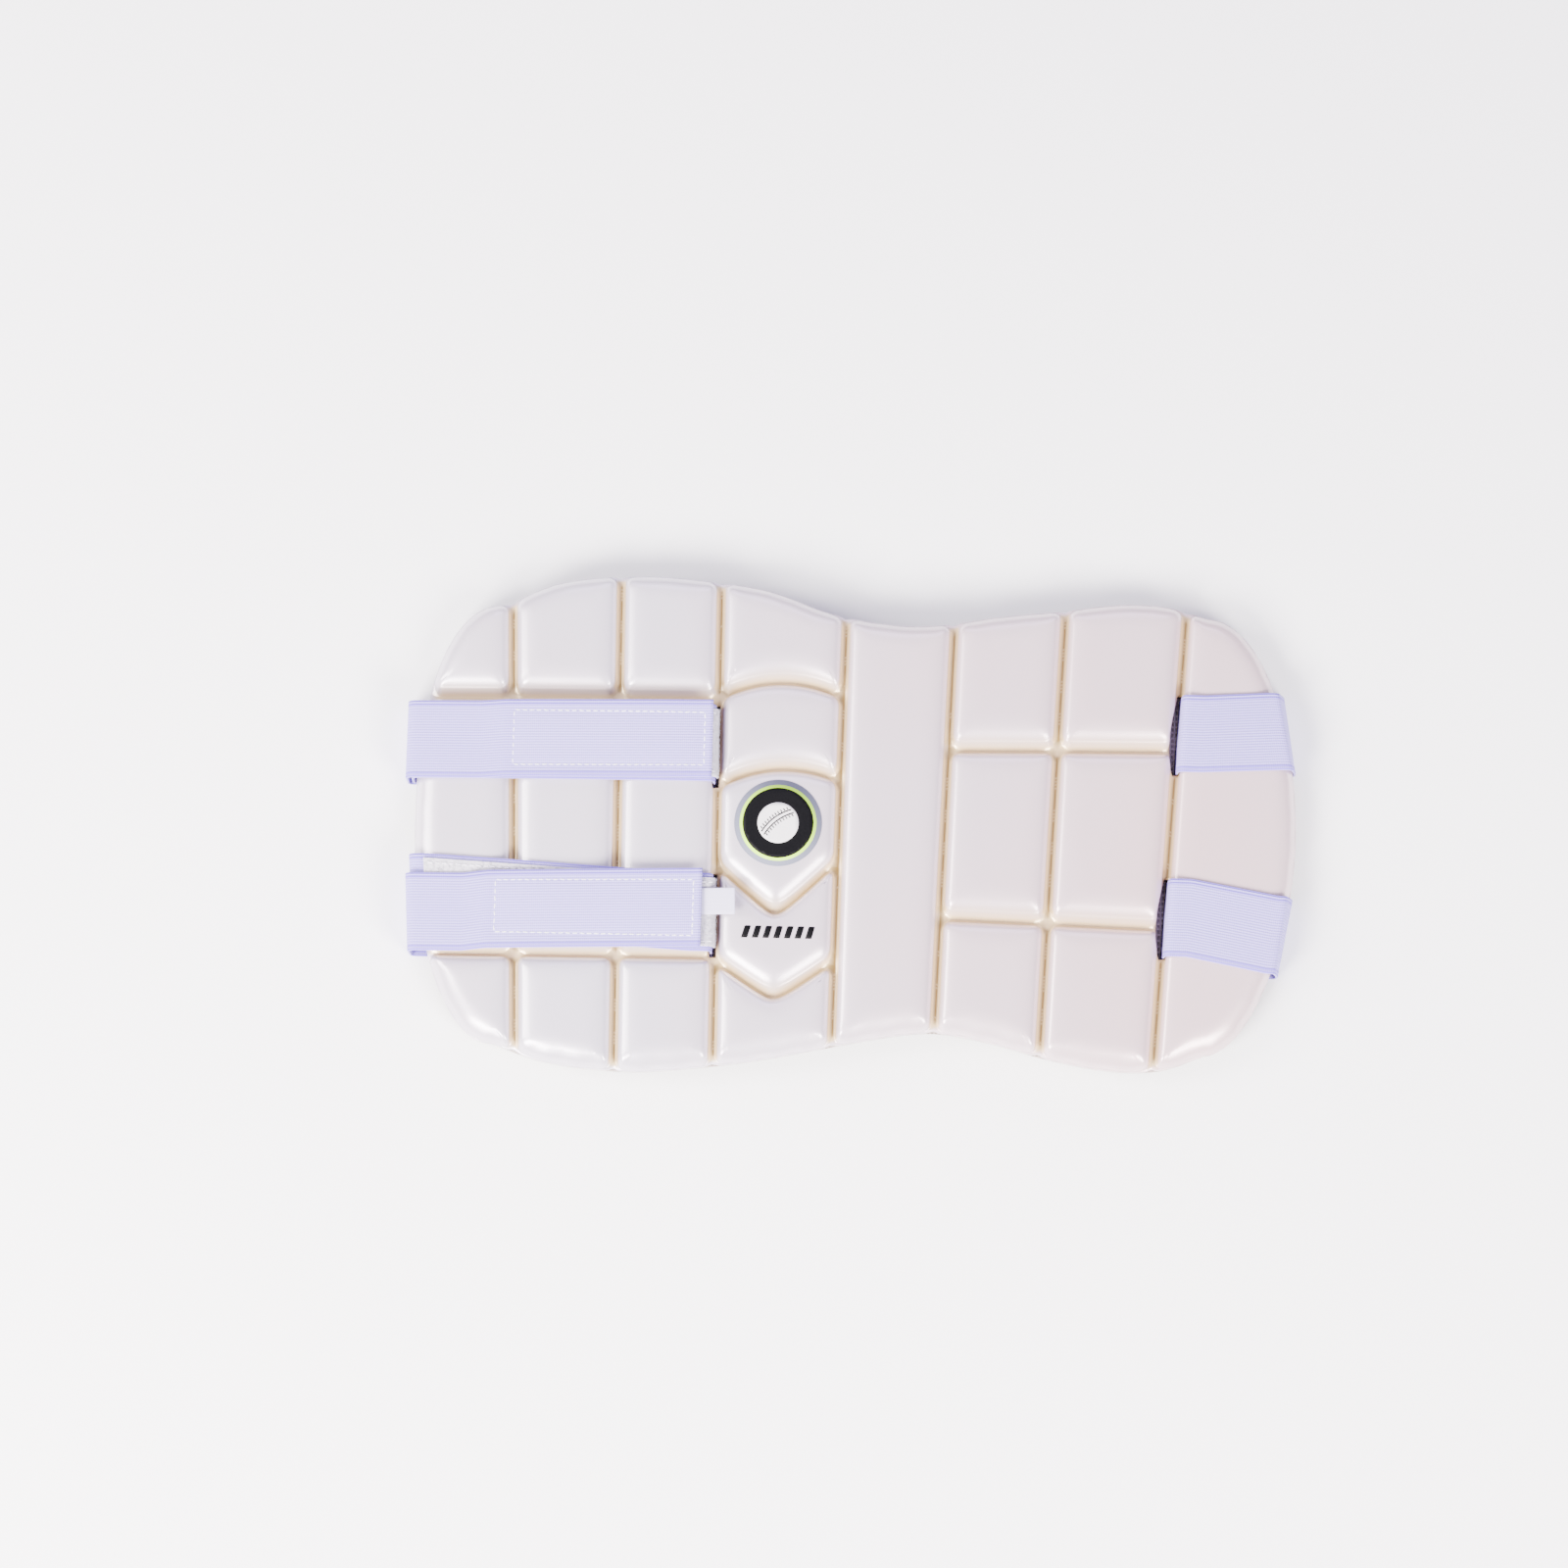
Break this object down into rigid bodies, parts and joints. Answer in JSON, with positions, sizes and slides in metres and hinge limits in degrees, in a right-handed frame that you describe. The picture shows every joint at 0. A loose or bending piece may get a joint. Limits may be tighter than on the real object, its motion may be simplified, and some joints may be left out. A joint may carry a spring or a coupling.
{
  "type": "cricket chest guard",
  "caption": "Moulded foam chest guard of raised blocks on a cloth lining, with two elastic straps and hook-and-loop ends, lying on its back.",
  "frame": {"origin": "under the middle of the whole guard, on the surface that it lies on", "axes": "+X along the guard to the end block, +Y towards the collar edge, +Z out of the front face"},
  "size_m": [0.49, 0.2748, 0.0375],
  "materials": {
    "foam": "pearl-white skinned moulded foam",
    "lining": "dark brown-grey knitted lining",
    "elastic": "lilac-white ribbed woven elastic",
    "pile": "brushed loop pile tape",
    "hook": "moulded hook tape",
    "label": "plain white satin tab"
  },
  "bodies": {
    "root": {"foam_body": "foam", "back_lining": "lining", "upper_strap": "elastic", "lower_strap": "elastic", "upper_loop_strap": "elastic", "lower_loop_strap": "elastic", "upper_pile_tape": "pile", "lower_pile_tape": "pile", "upper_hook_patch": "hook", "lower_hook_patch": "hook", "size_label": "label"}
  },
  "joints": []
}
